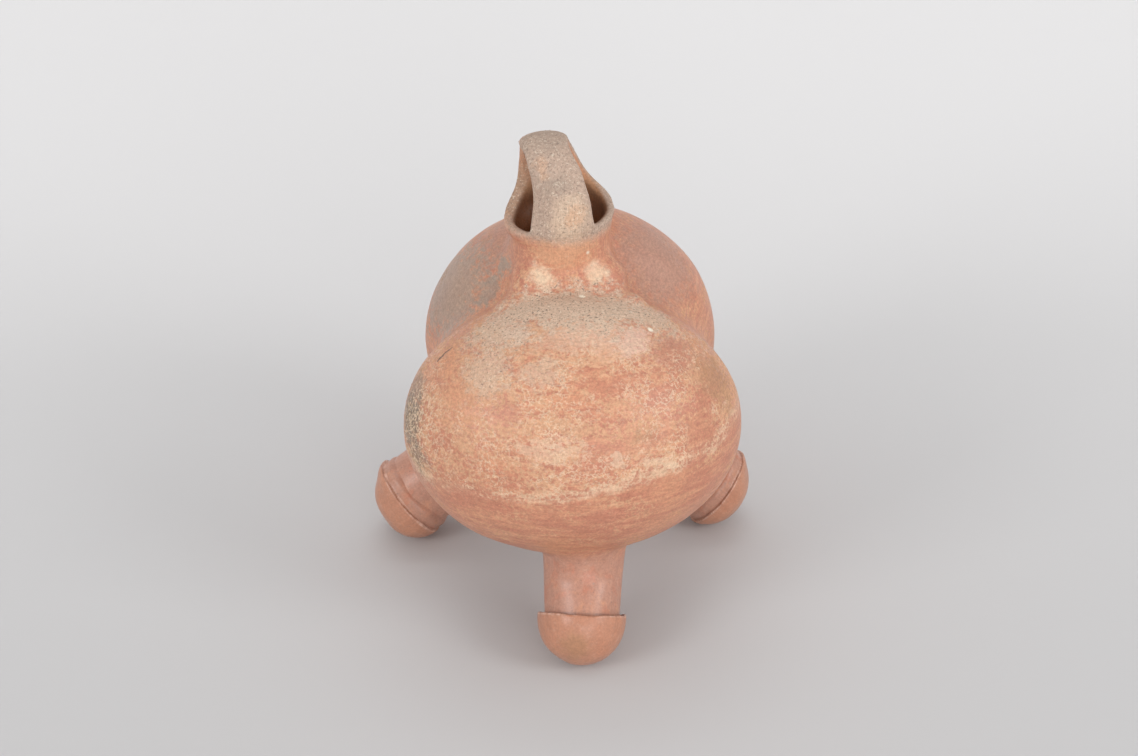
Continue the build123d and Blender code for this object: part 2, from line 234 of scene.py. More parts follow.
class ClayField:
    """A grid over the vessel. Its fields hold how full of clay each cell is, from nought to one."""

    # Empty cells round the vessel, and the cells over which a solid's edge fades
    MARGIN = 8
    RAMP = 3.0

    def __init__(self, low, high, cell):
        self.cell = cell
        self.low = np.array(low) - self.MARGIN * cell
        self.shape = tuple(np.ceil((np.array(high) - self.low) / cell).astype(int) + self.MARGIN)
        self.axes = [self.low[i] + cell * np.arange(self.shape[i], dtype=np.float32) for i in range(3)]

    @staticmethod
    def over_grid(x, y, z):
        """The sum of a value for each step along X, Y and Z, at each cell."""
        return x[:, None, None] + y[None, :, None] + z[None, None, :]

    def in_cells(self, distance):
        """A distance outside a surface, in cells, kept within three of them."""
        return np.clip(distance / self.cell, -self.RAMP, self.RAMP).astype(np.float32)

    def of_depth(self, depth):
        """The field of a solid from the distance outside its surface, in cells."""
        return np.clip(0.5 - depth / self.RAMP, 0.0, 1.0)

    def depth_of(self, points, **faces):
        """Distance outside a closed mesh at each cell, in cells, true within three of them."""
        level = openvdb.FloatGrid.createLevelSetFromPolygons(points.astype(np.float32), **faces)
        depth = np.empty(self.shape, np.float32)
        level.copyToArray(depth)
        return depth

    def depth_of_nodes(self, nodes):
        """Distance outside the nearest of some CAD nodes."""
        total = np.full(self.shape, self.RAMP, np.float32)
        for node in nodes:
            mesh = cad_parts[node].data
            mesh.calc_loop_triangles()
            triangles = np.empty(len(mesh.loop_triangles) * 3, np.int32)
            mesh.loop_triangles.foreach_get("vertices", triangles)
            points = (corners_of(mesh) - self.low) / self.cell
            depth = self.depth_of(points, triangles=triangles.reshape(-1, 3).astype(np.uint32))
            total = np.minimum(total, depth)
        return total

    def depth_of_rod(self, matrix, radius, low, high):
        """Distance outside a round rod along a frame's Z axis, between two heights."""
        place = [axis - offset for axis, offset in zip(self.axes, matrix.translation)]
        columns = np.array(matrix.to_3x3()).T
        local = [self.over_grid(*(part * value for part, value in zip(column, place))) for column in columns]
        beyond_ends = np.abs(local[2] - (low + high) / 2) - (high - low) / 2
        outside = np.maximum(np.hypot(local[0], local[1]) - radius, beyond_ends)
        return self.in_cells(outside)

    def depth_of_roll(self, start, end, radius):
        """Distance outside a round-ended roll of clay between two points."""
        span = end - start
        place = [axis - offset for axis, offset in zip(self.axes, start)]
        along = self.over_grid(*(part * value for part, value in zip(span, place))) / span.length_squared
        part = np.clip(along, 0.0, 1.0)
        far = self.over_grid(*(value * value for value in place))
        far = far + part * (part - 2 * along) * span.length_squared
        outside = np.sqrt(np.maximum(far, 0.0)) - radius
        return self.in_cells(outside)

    def luted(self, depth):
        """The field of pieces that touch, with the joints between them closed."""
        points, quads = self.quads_of(depth, self.RAMP / 2)
        return self.of_depth(self.depth_of(points, quads=quads) + self.RAMP / 2)

    def quads_of(self, values, level):
        """Corners, in cells, and faces of the skin where an array passes a level."""
        grid = openvdb.FloatGrid()
        grid.background = float(values.max())
        grid.copyFromArray(np.ascontiguousarray(values))
        return grid.convertToQuads(isovalue=level)

    @staticmethod
    def closed(field):
        """A hollow field filled up between its outer walls, seen along X."""
        from_left = np.maximum.accumulate(field, axis=0)
        from_right = np.maximum.accumulate(field[::-1], axis=0)[::-1]
        return np.minimum(from_left, from_right)

    def near(self, centre, inner, outer):
        """One inside the inner distance from a point, nought outside the outer one."""
        square = self.over_grid(*((axis - spot) ** 2 for axis, spot in zip(self.axes, centre)))
        return eased(np.sqrt(square), outer, inner).astype(np.float32)

    def softened(self, field, radius):
        """A field smoothed by a bell curve of that radius along each axis."""
        spread = radius / self.cell
        reach = math.ceil(3 * spread)
        weights = np.exp(-0.5 * (np.arange(-reach, reach + 1) / spread) ** 2)
        weights = (weights / weights.sum()).astype(np.float32)
        for axis in range(3):
            pads = [(reach, reach) if i == axis else (0, 0) for i in range(3)]
            padded = np.pad(field, pads)
            field = np.zeros(self.shape, np.float32)
            window = [slice(None)] * 3
            for step, weight in enumerate(weights):
                window[axis] = slice(step, step + self.shape[axis])
                field += weight * padded[tuple(window)]
        return field

    def surface(self, field, name):
        """The skin where a field is half full, as a mesh."""
        points, quads = self.quads_of(0.5 - field, 0.0)
        corners = self.low + points.astype(np.float64) * self.cell
        return mesh_of_quads(name, corners, quads)


def mesh_of_quads(name, corners, quads):
    """A mesh from arrays of corners and four-sided faces."""
    mesh = bpy.data.meshes.new(name)
    mesh.vertices.add(len(corners))
    mesh.vertices.foreach_set("co", corners.astype(np.float32).ravel())
    mesh.loops.add(quads.size)
    mesh.loops.foreach_set("vertex_index", quads.astype(np.int32).ravel())
    mesh.polygons.add(len(quads))
    mesh.polygons.foreach_set("loop_start", np.arange(0, quads.size, 4, dtype=np.int32))
    mesh.update(calc_edges=True)
    mesh.validate()
    return mesh


def rows_of(items, field):
    """A field of three numbers for each item, as rows of an array."""
    values = np.empty(len(items) * 3, np.float32)
    items.foreach_get(field, values)
    return values.reshape(-1, 3)


def corners_of(mesh):
    """A mesh's corners as rows of an array."""
    return rows_of(mesh.vertices, "co")


def normals_of(mesh):
    """A mesh's corner normals as rows of an array."""
    return rows_of(mesh.vertex_normals, "vector")


def move_corners(mesh, corners):
    """Put a mesh's corners in other places."""
    mesh.vertices.foreach_set("co", corners.astype(np.float32).ravel())
    mesh.update()


def volume_of(mesh):
    """Volume inside a mesh, below nought where its faces point inwards."""
    shape = bmesh.new()
    shape.from_mesh(mesh)
    volume = shape.calc_volume(signed=True)
    shape.free()
    return volume


# The hand-scraped surface: each wave's weight against the last one's, how far the sum is driven, and
# the waves' turns per metre along each axis with their phases
SCRAPE_FALL = 0.72
SCRAPE_GAIN = 1.8
SCRAPE_WAVES = (
    ((17.0, 9.0, -12.0), 0.4),
    ((-11.0, 21.0, 15.0), 1.9),
    ((24.0, -14.0, 19.0), 3.1),
    ((-29.0, -23.0, 31.0), 5.0),
    ((41.0, 33.0, -27.0), 2.2),
    ((58.0, -49.0, 64.0), 0.9),
)


def scraped(corners):
    """Unevenness from nought to one at each corner."""
    total = np.zeros(len(corners))
    weight = 1.0
    weights = 0.0
    for wave, phase in SCRAPE_WAVES:
        total += weight * np.sin(2 * math.pi * (corners @ np.array(wave)) + phase)
        weights += weight
        weight *= SCRAPE_FALL
    return 0.5 + 0.5 * np.clip(SCRAPE_GAIN * total / weights, -1.0, 1.0)


def eased(values, start, end):
    """Nought on the start's side and one on the end's, with a smooth rise between."""
    part = np.clip((values - start) / (end - start), 0.0, 1.0)
    return part * part * (3 - 2 * part)


def pressed(corners):
    """The neck and the handle pressed out of true by hand. Its numbers are millimetres."""
    x, y, z = (corners[:, i] / MM for i in range(3))
    moved = corners.copy()

    # The rim sinks to the left, and its two ears are drawn out
    low_left = 0.12 * np.maximum(18 - x, 0.0) * eased(z, 186, 200) * (1 - eased(z, 206, 230))
    rim = eased(z, 186, 198) * (1 - eased(z, 206, 222))
    ears = rim * (1.2 * eased(x, 12, 25) - 3.0 * (1 - eased(x, -26, -12)))

    # The strap bows to the right, and the tongue's left edge spreads
    front = 1 - eased(y, 8, 20)
    bow = (3.0 + 0.14 * (x + 2)) * eased(z, 200, 220) * (1 - eased(z, 228, 241)) * front
    left_edge = (1 - eased(x, -16, -8)) * (1 - front)
    spread = -2.4 * eased(z, 207, 220) * (1 - eased(z, 234, 241)) * left_edge

    # The arch's edges are rounded, on its top and on its front
    edge = np.clip(np.abs(x - 2 + 0.3 * (z - 205)) / 12.5, 0.0, 1.3) ** 3
    round_top = 2.6 * edge * eased(z, 222, 238)
    round_front = 2.2 * edge * front * eased(z, 198, 218) * (1 - eased(z, 224, 238))

    moved[:, 0] += (bow + spread + ears) * MM
    moved[:, 1] += round_front * MM
    moved[:, 2] -= (low_left + round_top) * MM
    return moved


def leg_axis(name):
    """Direction of a leg from its foot up to its root."""
    foot, heading, dip = LEGS[name]
    turn, fall = math.radians(heading), math.radians(dip)
    return Vector((-math.cos(fall) * math.sin(turn), math.cos(fall) * math.cos(turn), math.sin(fall)))


def leg_matrix(name):
    """Frame of a leg: its Z runs up the axis from the middle of the foot cap."""
    up = leg_axis(name)
    side = up.cross(Vector((0, 0, 1))).normalized()
    across = up.cross(side)
    turn = Matrix((side, across, up)).transposed().to_4x4()
    return Matrix.Translation(LEGS[name][0]) @ turn


def leg_and_handle_clay(grid):
    """Distance outside the legs and the handle, with rods inside the caps and fuller side legs."""
    clay = grid.depth_of_nodes(LEG_NODES + HANDLE_NODES)
    for name in LEGS:
        rod = grid.depth_of_rod(leg_matrix(name), SHANK_FOOT_RADIUS, -LEG_LENGTHS[name] / 4, LEG_ROD_TOP)
        clay = np.minimum(clay, rod)
    for name in ROLLS:
        matrix = leg_matrix(name)
        start = matrix @ Vector((0, -FULLER_RISES[name], FULLER_START))
        end = matrix @ Vector((0, -FULLER_RISES[name], LEG_LENGTHS[name]))
        clay = np.minimum(clay, grid.depth_of_roll(start, end, FULLER_RADIUS))
    return clay


def clay_round_neck(grid):
    """Distance outside the collar under the rim and the two rolls in front of the neck."""
    upright = Matrix.Translation(NECK_AXIS)
    collar = grid.depth_of_rod(upright, COLLAR_RADIUS, NECK_ROOT_Z - COLLAR_DROP, COLLAR_TOP)
    apron = grid.depth_of_roll(*APRON_ENDS, APRON_RADIUS)
    saddle = grid.depth_of_roll(*SADDLE_ENDS, SADDLE_RADIUS)
    return np.minimum(collar, np.minimum(apron, saddle))


def smoothed_roots(grid, clay, form):
    """A field with the roots of the neck and the legs smoothed, and then the brow over the front leg."""
    share = grid.near(*NECK_SMOOTHED)
    for name in LEGS:
        root = LEGS[name][0] + leg_axis(name) * LEG_LENGTHS[name]
        share = np.maximum(share, ROOT_SHARES[name] * grid.near(root, *ROOT_SMOOTHED))
    clay = clay + (grid.softened(clay, form.root_softness) - clay) * share
    return clay + (grid.softened(clay, form.brow_softness) - clay) * grid.near(*BROW_SMOOTHED)


@cache
def clay_skin():
    """The whole vessel but its foot caps as one softened skin, formed once."""
    form = bpy.context.scene.askos_form
    grid = ClayField(cad_box[0], cad_box[1], form.cell)
    body = grid.depth_of_nodes(BODY_NODES)
    neck = grid.depth_of_nodes(NECK_NODES)
    clay = grid.luted(np.minimum(np.minimum(body, neck), leg_and_handle_clay(grid)))
    filled = np.maximum(grid.closed(grid.of_depth(body)), grid.closed(grid.of_depth(neck)))
    hollow = np.clip(filled - clay, 0.0, 1.0)
    outside = np.maximum(np.maximum(filled, clay), grid.of_depth(clay_round_neck(grid)))
    outside = smoothed_roots(grid, outside, form)
    mesh = grid.surface(grid.softened(outside - hollow, form.hand_softness), "clay skin")
    if volume_of(mesh) < 0:
        mesh.flip_normals()
    corners = corners_of(mesh)
    corners -= normals_of(mesh) * (form.wobble * scraped(corners))[:, None]
    corners = pressed(corners)
    corners = np.clip(corners, np.array(cad_box[0]), np.array(cad_box[1]))
    move_corners(mesh, corners)
    return mesh


# Cutting the skin into pieces


def put(name, data):
    """A new object in the scene that holds some data."""
    item = bpy.data.objects.new(name, data)
    bpy.context.scene.collection.objects.link(item)
    return item


def finished(shape, name):
    """The mesh of a shape that is no longer worked on."""
    mesh = bpy.data.meshes.new(name)
    shape.to_mesh(mesh)
    shape.free()
    return mesh


def box_mesh(low, high):
    """A box between two corners."""
    shape = bmesh.new()
    size = Vector(high) - Vector(low)
    middle = (Vector(high) + Vector(low)) / 2
    bmesh.ops.create_cube(shape, size=1, matrix=Matrix.Translation(middle) @ Matrix.Diagonal((*size, 1)))
    return finished(shape, "box")


def rod_mesh(matrix, radius, low, high):
    """A round rod along a frame's Z axis, between two heights."""
    shape = bmesh.new()
    place = matrix @ Matrix.Translation((0, 0, (low + high) / 2))
    bmesh.ops.create_cone(
        shape, cap_ends=True, segments=96, radius1=radius, radius2=radius, depth=high - low, matrix=place
    )
    return finished(shape, "rod")


def cut(mesh, tool, operation):
    """What is left of a mesh inside or outside a tool."""
    body = put("cut body", mesh)
    cutter = put("cut tool", tool)
    modifier = body.modifiers.new("Cut", "BOOLEAN")
    modifier.operation = operation
    modifier.solver = "MANIFOLD"
    modifier.object = cutter
    depsgraph = bpy.context.evaluated_depsgraph_get()
    result = bpy.data.meshes.new_from_object(body.evaluated_get(depsgraph))
    bpy.data.objects.remove(body)
    bpy.data.objects.remove(cutter)
    return result


def limb_tools():
    """Tools that cut the handle, the neck and the legs off the body."""
    upright = Matrix.Translation(NECK_AXIS)
    tools = {
        "strap": box_mesh((-FAR, -FAR, HANDLE_FOOT_Z), (FAR, NECK_AXIS.y, FAR)),
        "tongue": box_mesh((-FAR, NECK_AXIS.y, HANDLE_FOOT_Z), (FAR, FAR, FAR)),
        "neck": rod_mesh(upright, NECK_REACH, NECK_ROOT_Z - NECK_CUT_DEPTH, HANDLE_FOOT_Z),
    }
    for name in LEGS:
        leg_top = LEG_LENGTHS[name] + LEG_PAST_ROOT
        tools[f"{name}_leg"] = rod_mesh(leg_matrix(name), LEG_REACH, LEG_END - CUT_OVERLAP, leg_top)
    return tools


def body_tools():
    """Tools that part the body into its bowls, its shells and the waist."""
    return {
        "front_bowl": box_mesh((-FAR, -FAR, -FAR), (FAR, WAIST_FRONT_Y, SEAM_Z)),
        "front_shell": box_mesh((-FAR, -FAR, SEAM_Z), (FAR, WAIST_FRONT_Y, FAR)),
        "waist": box_mesh((-FAR, WAIST_FRONT_Y, -FAR), (FAR, WAIST_REAR_Y, FAR)),
        "rear_bowl": box_mesh((-FAR, WAIST_REAR_Y, -FAR), (FAR, FAR, SEAM_Z)),
        "rear_shell": box_mesh((-FAR, WAIST_REAR_Y, SEAM_Z), (FAR, FAR, FAR)),
    }


@cache
def skin_pieces():
    """The skin cut into named pieces, made once."""
    rest = clay_skin()
    for name in LEGS:
        rest = cut(rest, rod_mesh(leg_matrix(name), LEG_REACH, -LEG_REACH, LEG_END), "DIFFERENCE")
    pieces = {}
    for name, tool in limb_tools().items():
        pieces[name] = cut(rest, tool, "INTERSECT")
        rest = cut(rest, tool, "DIFFERENCE")
    for name, tool in body_tools().items():
        pieces[name] = cut(rest, tool, "INTERSECT")
    return pieces


@cache
def skin_tree():
    """The whole skin's corners, to be searched by place, and their normals, made once."""
    skin = clay_skin()
    tree = KDTree(len(skin.vertices))
    for index, corner in enumerate(corners_of(skin)):
        tree.insert(corner, index)
    tree.balance()
    return tree, normals_of(skin)


# Corners of the skin that lend a normal, the least gap to them, and the cosine to the lent normal
# below which a face of the piece counts as cut
LENDERS = 3
LENDER_GAP = 0.02 * MM
CUT_FACE_LIMIT = 0.45


def lend_normals(mesh):
    """Give a cut piece the whole skin's normals, so that no seam shows, and its cut faces their own."""
    tree, skin_normals = skin_tree()
    corner_normals = np.empty((len(mesh.vertices), 3), np.float32)
    for index, corner in enumerate(corners_of(mesh)):
        total = np.zeros(3)
        for place, near, distance in tree.find_n(corner, LENDERS):
            total += skin_normals[near] / (distance + LENDER_GAP)
        corner_normals[index] = total / max(np.linalg.norm(total), 1e-12)
    starts = np.empty(len(mesh.loops), np.int32)
    mesh.loops.foreach_get("vertex_index", starts)
    counts = np.empty(len(mesh.polygons), np.int32)
    mesh.polygons.foreach_get("loop_total", counts)
    face_normals = np.repeat(rows_of(mesh.polygons, "normal"), counts, axis=0)
    loop_normals = corner_normals[starts]
    turned = (loop_normals * face_normals).sum(1) < CUT_FACE_LIMIT
    first_loops = np.concatenate(([0], np.cumsum(counts)[:-1]))
    cut_faces = np.repeat(np.logical_or.reduceat(turned, first_loops), counts)
    loop_normals[cut_faces] = face_normals[cut_faces]
    mesh.shade_smooth()
    mesh.normals_split_custom_set(loop_normals)


def add_piece(name, mesh, slot, nodes):
    """Put a finished mesh in the scene as the piece that stands for some CAD nodes."""
    if len(mesh.polygons) == 0:
        raise RuntimeError(f"{name} came out empty")
    mesh.name = name
    mesh.materials.clear()
    mesh.materials.append(clay_material(slot))
    piece = put(name, mesh)
    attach(piece, "root")
    if nodes:
        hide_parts(*nodes)


def add_skin_piece(name, part, slot, nodes):
    """Add one cut piece of the skin."""
    mesh = skin_pieces()[part]
    lend_normals(mesh)
    add_piece(name, mesh, slot, nodes)


# Foot caps


# Steps along a cap's dome and along each smaller bend, and the turn of the lip's rounded edge
DOME_STEPS = 32
BEND_STEPS = 8
LIP_TURN = math.radians(125)


def cap_profile(form, name):
    """A foot cap's outline from the tip of its dome, round its lip and down the channel behind it."""
    dome, lip, edge = DOMES[name], LIPS[name], form.lip_edge
    spread = math.acos(max(edge - lip, 0.0) / dome)
    wide = form.cap_radius * math.sin(spread)
    outline = []
    for step in range(DOME_STEPS + 1):
        angle = spread * step / DOME_STEPS
        outline.append((form.cap_radius * math.sin(angle), -dome * math.cos(angle)))
    for step in range(BEND_STEPS + 1):
        angle = LIP_TURN * step / BEND_STEPS
        outline.append((wide - edge * (1 - math.cos(angle)), lip - edge * (1 - math.sin(angle))))
    if name in ROLLS:
        return outline + roll_outline(form, outline[-1], lip + form.channel_depth, ROLLS[name])
    bottom = lip - form.channel_depth
    inner = form.shank_radius + form.channel_width / 2
    for step in range(BEND_STEPS + 1):
        angle = math.pi * step / BEND_STEPS
        rise = form.channel_depth * (0.35 + 0.65 * step / BEND_STEPS)
        radius = inner + form.channel_width / 2 * math.cos(angle)
        outline.append((radius, bottom + rise * (1 - math.sin(angle))))
    outline.append((form.shank_radius - 2 * MM, outline[-1][1]))
    outline.append((0.0, outline[-1][1]))
    return outline


def roll_outline(form, start, channel, roll):
    """The rest of a side cap's outline: a channel, a soft roll and the way down into the leg."""
    stations = (
        start,
        (form.shank_radius + 2.0 * MM, channel),
        (form.shank_radius + 2.3 * MM, roll),
        (form.shank_radius - 0.9 * MM, roll + 6.5 * MM),
    )
    outline = []
    for (radius, height), (next_radius, next_height) in zip(stations, stations[1:]):
        for step in range(1, BEND_STEPS + 1):
            part = step / BEND_STEPS
            width = radius + (next_radius - radius) * eased(part, 0.0, 1.0)
            outline.append((width, height + (next_height - height) * part))
    outline.append((0.0, outline[-1][1]))
    return outline


def profile_curve(outline):
    """An outline of radii and heights as a curve object in the XZ plane."""
    data = bpy.data.curves.new("cap profile", "CURVE")
    data.dimensions = "3D"
    spline = data.splines.new("POLY")
    spline.points.add(len(outline) - 1)
    for point, (radius, height) in zip(spline.points, outline):
        point.co = (radius, 0, height, 1)
    return put("cap profile", data)


def new_nodes(name, inputs):
    """An empty Geometry Nodes group with a geometry in, a geometry out and some named inputs."""
    tree = bpy.data.node_groups.new(name, "GeometryNodeTree")
    tree.interface.new_socket("Geometry", in_out="INPUT", socket_type="NodeSocketGeometry")
    for label, kind in inputs.items():
        tree.interface.new_socket(label, in_out="INPUT", socket_type=kind)
    tree.interface.new_socket("Geometry", in_out="OUTPUT", socket_type="NodeSocketGeometry")
    return tree


def add_node(tree, kind, inputs=(), **settings):
    """A node with its settings, and values or links for its inputs by name or number."""
    node = tree.nodes.new(kind)
    for name, value in settings.items():
        setattr(node, name, value)
    for name, value in dict(inputs).items():
        if isinstance(value, bpy.types.NodeSocket):
            tree.links.new(value, node.inputs[name])
        else:
            node.inputs[name].default_value = value
    return node


def finish_nodes(tree, geometry, material):
    """End a group in real geometry with its material."""
    real = add_node(tree, "GeometryNodeRealizeInstances", {"Geometry": geometry}).outputs[0]
    painted = add_node(tree, "GeometryNodeSetMaterial", {"Geometry": real, "Material": material}).outputs[0]
    add_node(tree, "NodeGroupOutput", {"Geometry": painted})
    return tree


@cache
def revolve_nodes():
    """Geometry Nodes that turn a profile curve about Z into a closed solid, made once."""
    inputs = {"Profile Points": "NodeSocketInt", "Sides": "NodeSocketInt", "Material": "NodeSocketMaterial"}
    tree = new_nodes("Foot cap", inputs)
    given = add_node(tree, "NodeGroupInput").outputs
    rows, sides = given["Profile Points"], given["Sides"]
    corners = add_node(tree, "ShaderNodeMath", {0: sides, 1: 1.0}, operation="ADD").outputs[0]
    resampling = {"Curve": given["Geometry"], "Count": rows}
    curve = add_node(tree, "GeometryNodeResampleCurve", resampling, mode="COUNT").outputs[0]
    grid = add_node(tree, "GeometryNodeMeshGrid", {"Vertices X": rows, "Vertices Y": corners})
    counted = {0: add_node(tree, "GeometryNodeInputIndex").outputs[0], 1: corners}
    row = add_node(tree, "FunctionNodeIntegerMath", counted, operation="DIVIDE_FLOOR").outputs[0]
    column = add_node(tree, "FunctionNodeIntegerMath", counted, operation="MODULO").outputs[0]
    part = add_node(tree, "ShaderNodeMath", {0: column, 1: sides}, operation="DIVIDE").outputs[0]
    turn = add_node(tree, "ShaderNodeMath", {0: part, 1: 2 * math.pi}, operation="MULTIPLY").outputs[0]
    place = add_node(tree, "GeometryNodeInputPosition").outputs[0]
    sampled = {"Geometry": curve, "Value": place, "Index": row}
    point = add_node(tree, "GeometryNodeSampleIndex", sampled, data_type="FLOAT_VECTOR").outputs[0]
    turning = {"Vector": point, "Angle": turn}
    turned = add_node(tree, "ShaderNodeVectorRotate", turning, rotation_type="Z_AXIS").outputs[0]
    moving = {"Geometry": grid.outputs["Mesh"], "Position": turned}
    moved = add_node(tree, "GeometryNodeSetPosition", moving).outputs[0]
    merging = {"Geometry": moved, "Distance": 0.01 * MM}
    joined = add_node(tree, "GeometryNodeMergeByDistance", merging).outputs[0]
    smooth = add_node(tree, "GeometryNodeSetShadeSmooth", {"Geometry": joined}).outputs[0]
    return finish_nodes(tree, smooth, given["Material"])


def grown(holder, tree, values):
    """The mesh that a Geometry Nodes group makes of an object, with its inputs set by name."""
    modifier = holder.modifiers.new("Nodes", "NODES")
    modifier.node_group = tree
    for socket in tree.interface.items_tree:
        if socket.item_type == "SOCKET" and socket.in_out == "INPUT" and socket.name in values:
            modifier[socket.identifier] = values[socket.name]
    depsgraph = bpy.context.evaluated_depsgraph_get()
    mesh = bpy.data.meshes.new_from_object(holder.evaluated_get(depsgraph))
    holder.modifiers.clear()
    return mesh


# Waves of an uneven lip: height in millimetres, waves round the cap and phase
LIP_WAVES = ((0.4, 2, 1.0), (0.25, 5, 0.0), (0.1, 11, 0.0))

# Heights between which a cap grows uneven and fuller, and how much finer it is scraped than the body
UNEVEN_HEIGHTS = (-7.0 * MM, -1.0 * MM)
FULLER_HEIGHTS = (-9.0 * MM, 3.0 * MM)
CAP_FINENESS = 1.7


def cap_mesh(name):
    """A leg's foot cap, turned from its profile, unevenly smoothed and flat where it rests."""
    form = bpy.context.scene.askos_form
    holder = profile_curve(cap_profile(form, name))
    values = {"Profile Points": form.cap_rows, "Sides": form.cap_sides, "Material": clay_material(RED_SLOT)}
    mesh = grown(holder, revolve_nodes(), values)
    bpy.data.objects.remove(holder)
    if volume_of(mesh) < 0:
        mesh.flip_normals()
    corners = corners_of(mesh)
    round_axis = np.arctan2(corners[:, 1], corners[:, 0])
    uneven = sum(height * np.sin(waves * round_axis + phase) for height, waves, phase in LIP_WAVES)
    corners[:, 2] += uneven * MM * eased(corners[:, 2], *UNEVEN_HEIGHTS)
    upper = (corners[:, 1] < 0) * eased(corners[:, 2], *FULLER_HEIGHTS)
    corners[:, 1] *= 1 + CAP_RISES[name] * upper
    move_corners(mesh, corners)
    mesh.transform(leg_matrix(name))
    corners = corners_of(mesh)
    corners -= normals_of(mesh) * (form.wobble * scraped(corners * CAP_FINENESS))[:, None]
    corners[:, 2] = np.maximum(corners[:, 2], 0.0)
    move_corners(mesh, corners)
    return mesh


# Temper grits


# Where grits lie, in millimetres: thickly above a height, and thinly on the front belly
GRITTY_HEIGHT = 196
BELLY_GRIT_Y = -20
BELLY_GRIT_HEIGHT = 105
BELLY_GRIT_SHARE = 0.12

# Below this height, in millimetres, none lie on clay that faces the body's middle, here in metres
OPEN_HEIGHT = 178
BODY_MIDDLE = np.array((0.0, -0.02, 0.108))


def grit_share(corners, normals):
    """How thickly grits lie at each corner: on the handle, on the crest and thinly on the front."""
    x, y, z = (corners[:, i] / MM for i in range(3))
    share = np.where(z > GRITTY_HEIGHT, 1.0, 0.0)
    for middle, reach, strength in SANDY_MARKS:
        parts = zip((x, y, z), middle, reach)
        far = np.sqrt(sum(((value - spot) / part) ** 2 for value, spot, part in parts))
        share = np.maximum(share, strength * (1 - eased(far, 0.6, 1.1)))
    belly = (y < BELLY_GRIT_Y) & (z > BELLY_GRIT_HEIGHT)
    share = np.maximum(share, np.where(belly, BELLY_GRIT_SHARE, 0.0))
    outwards = (normals * (corners - BODY_MIDDLE)).sum(1)
    return np.where((z < OPEN_HEIGHT) & (outwards < 0), 0.0, share)


def grit_nodes():
    """Geometry Nodes that strew small angular grits over a surface."""
    inputs = {
        "Density": "NodeSocketFloat",
        "Seed": "NodeSocketInt",
        "Smallest": "NodeSocketFloat",
        "Largest": "NodeSocketFloat",
        "Material": "NodeSocketMaterial",
    }
    tree = new_nodes("Temper grits", inputs)
    given = add_node(tree, "NodeGroupInput").outputs
    seed = given["Seed"]
    share = add_node(tree, "GeometryNodeInputNamedAttribute", {"Name": "grit_share"}, data_type="FLOAT")
    weights = {0: share.outputs[0], 1: given["Density"]}
    density = add_node(tree, "ShaderNodeMath", weights, operation="MULTIPLY").outputs[0]
    strewing = {"Mesh": given["Geometry"], "Density": density, "Seed": seed}
    points = add_node(tree, "GeometryNodeDistributePointsOnFaces", strewing).outputs["Points"]
    lump = add_node(tree, "GeometryNodeMeshIcoSphere", {"Radius": 1.0, "Subdivisions": 1}).outputs["Mesh"]
    sizes = {2: given["Smallest"], 3: given["Largest"], "Seed": seed}
    size = add_node(tree, "FunctionNodeRandomValue", sizes).outputs[1]
    turns = {0: (0.0, 0.0, 0.0), 1: (6.28, 6.28, 6.28), "Seed": seed}
    turn = add_node(tree, "FunctionNodeRandomValue", turns, data_type="FLOAT_VECTOR").outputs[0]
    lumps = {"Points": points, "Instance": lump, "Rotation": turn, "Scale": size}
    strewn = add_node(tree, "GeometryNodeInstanceOnPoints", lumps).outputs[0]
    return finish_nodes(tree, strewn, given["Material"])


def grit_mesh():
    """The grits that show in the weathered clay, strewn over a copy of the whole skin."""
    form = bpy.context.scene.askos_form
    values = {
        "Density": form.grit_density,
        "Seed": form.grit_seed,
        "Smallest": form.grit_smallest,
        "Largest": form.grit_largest,
        "Material": clay_material(SANDY_SLOT),
    }
    skin = clay_skin().copy()
    share = grit_share(corners_of(skin), normals_of(skin)).astype(np.float32)
    skin.attributes.new("grit_share", "FLOAT", "POINT").data.foreach_set("value", share)
    holder = put("grit holder", skin)
    mesh = grown(holder, grit_nodes(), values)
    bpy.data.objects.remove(holder)
    return mesh


# Clay materials


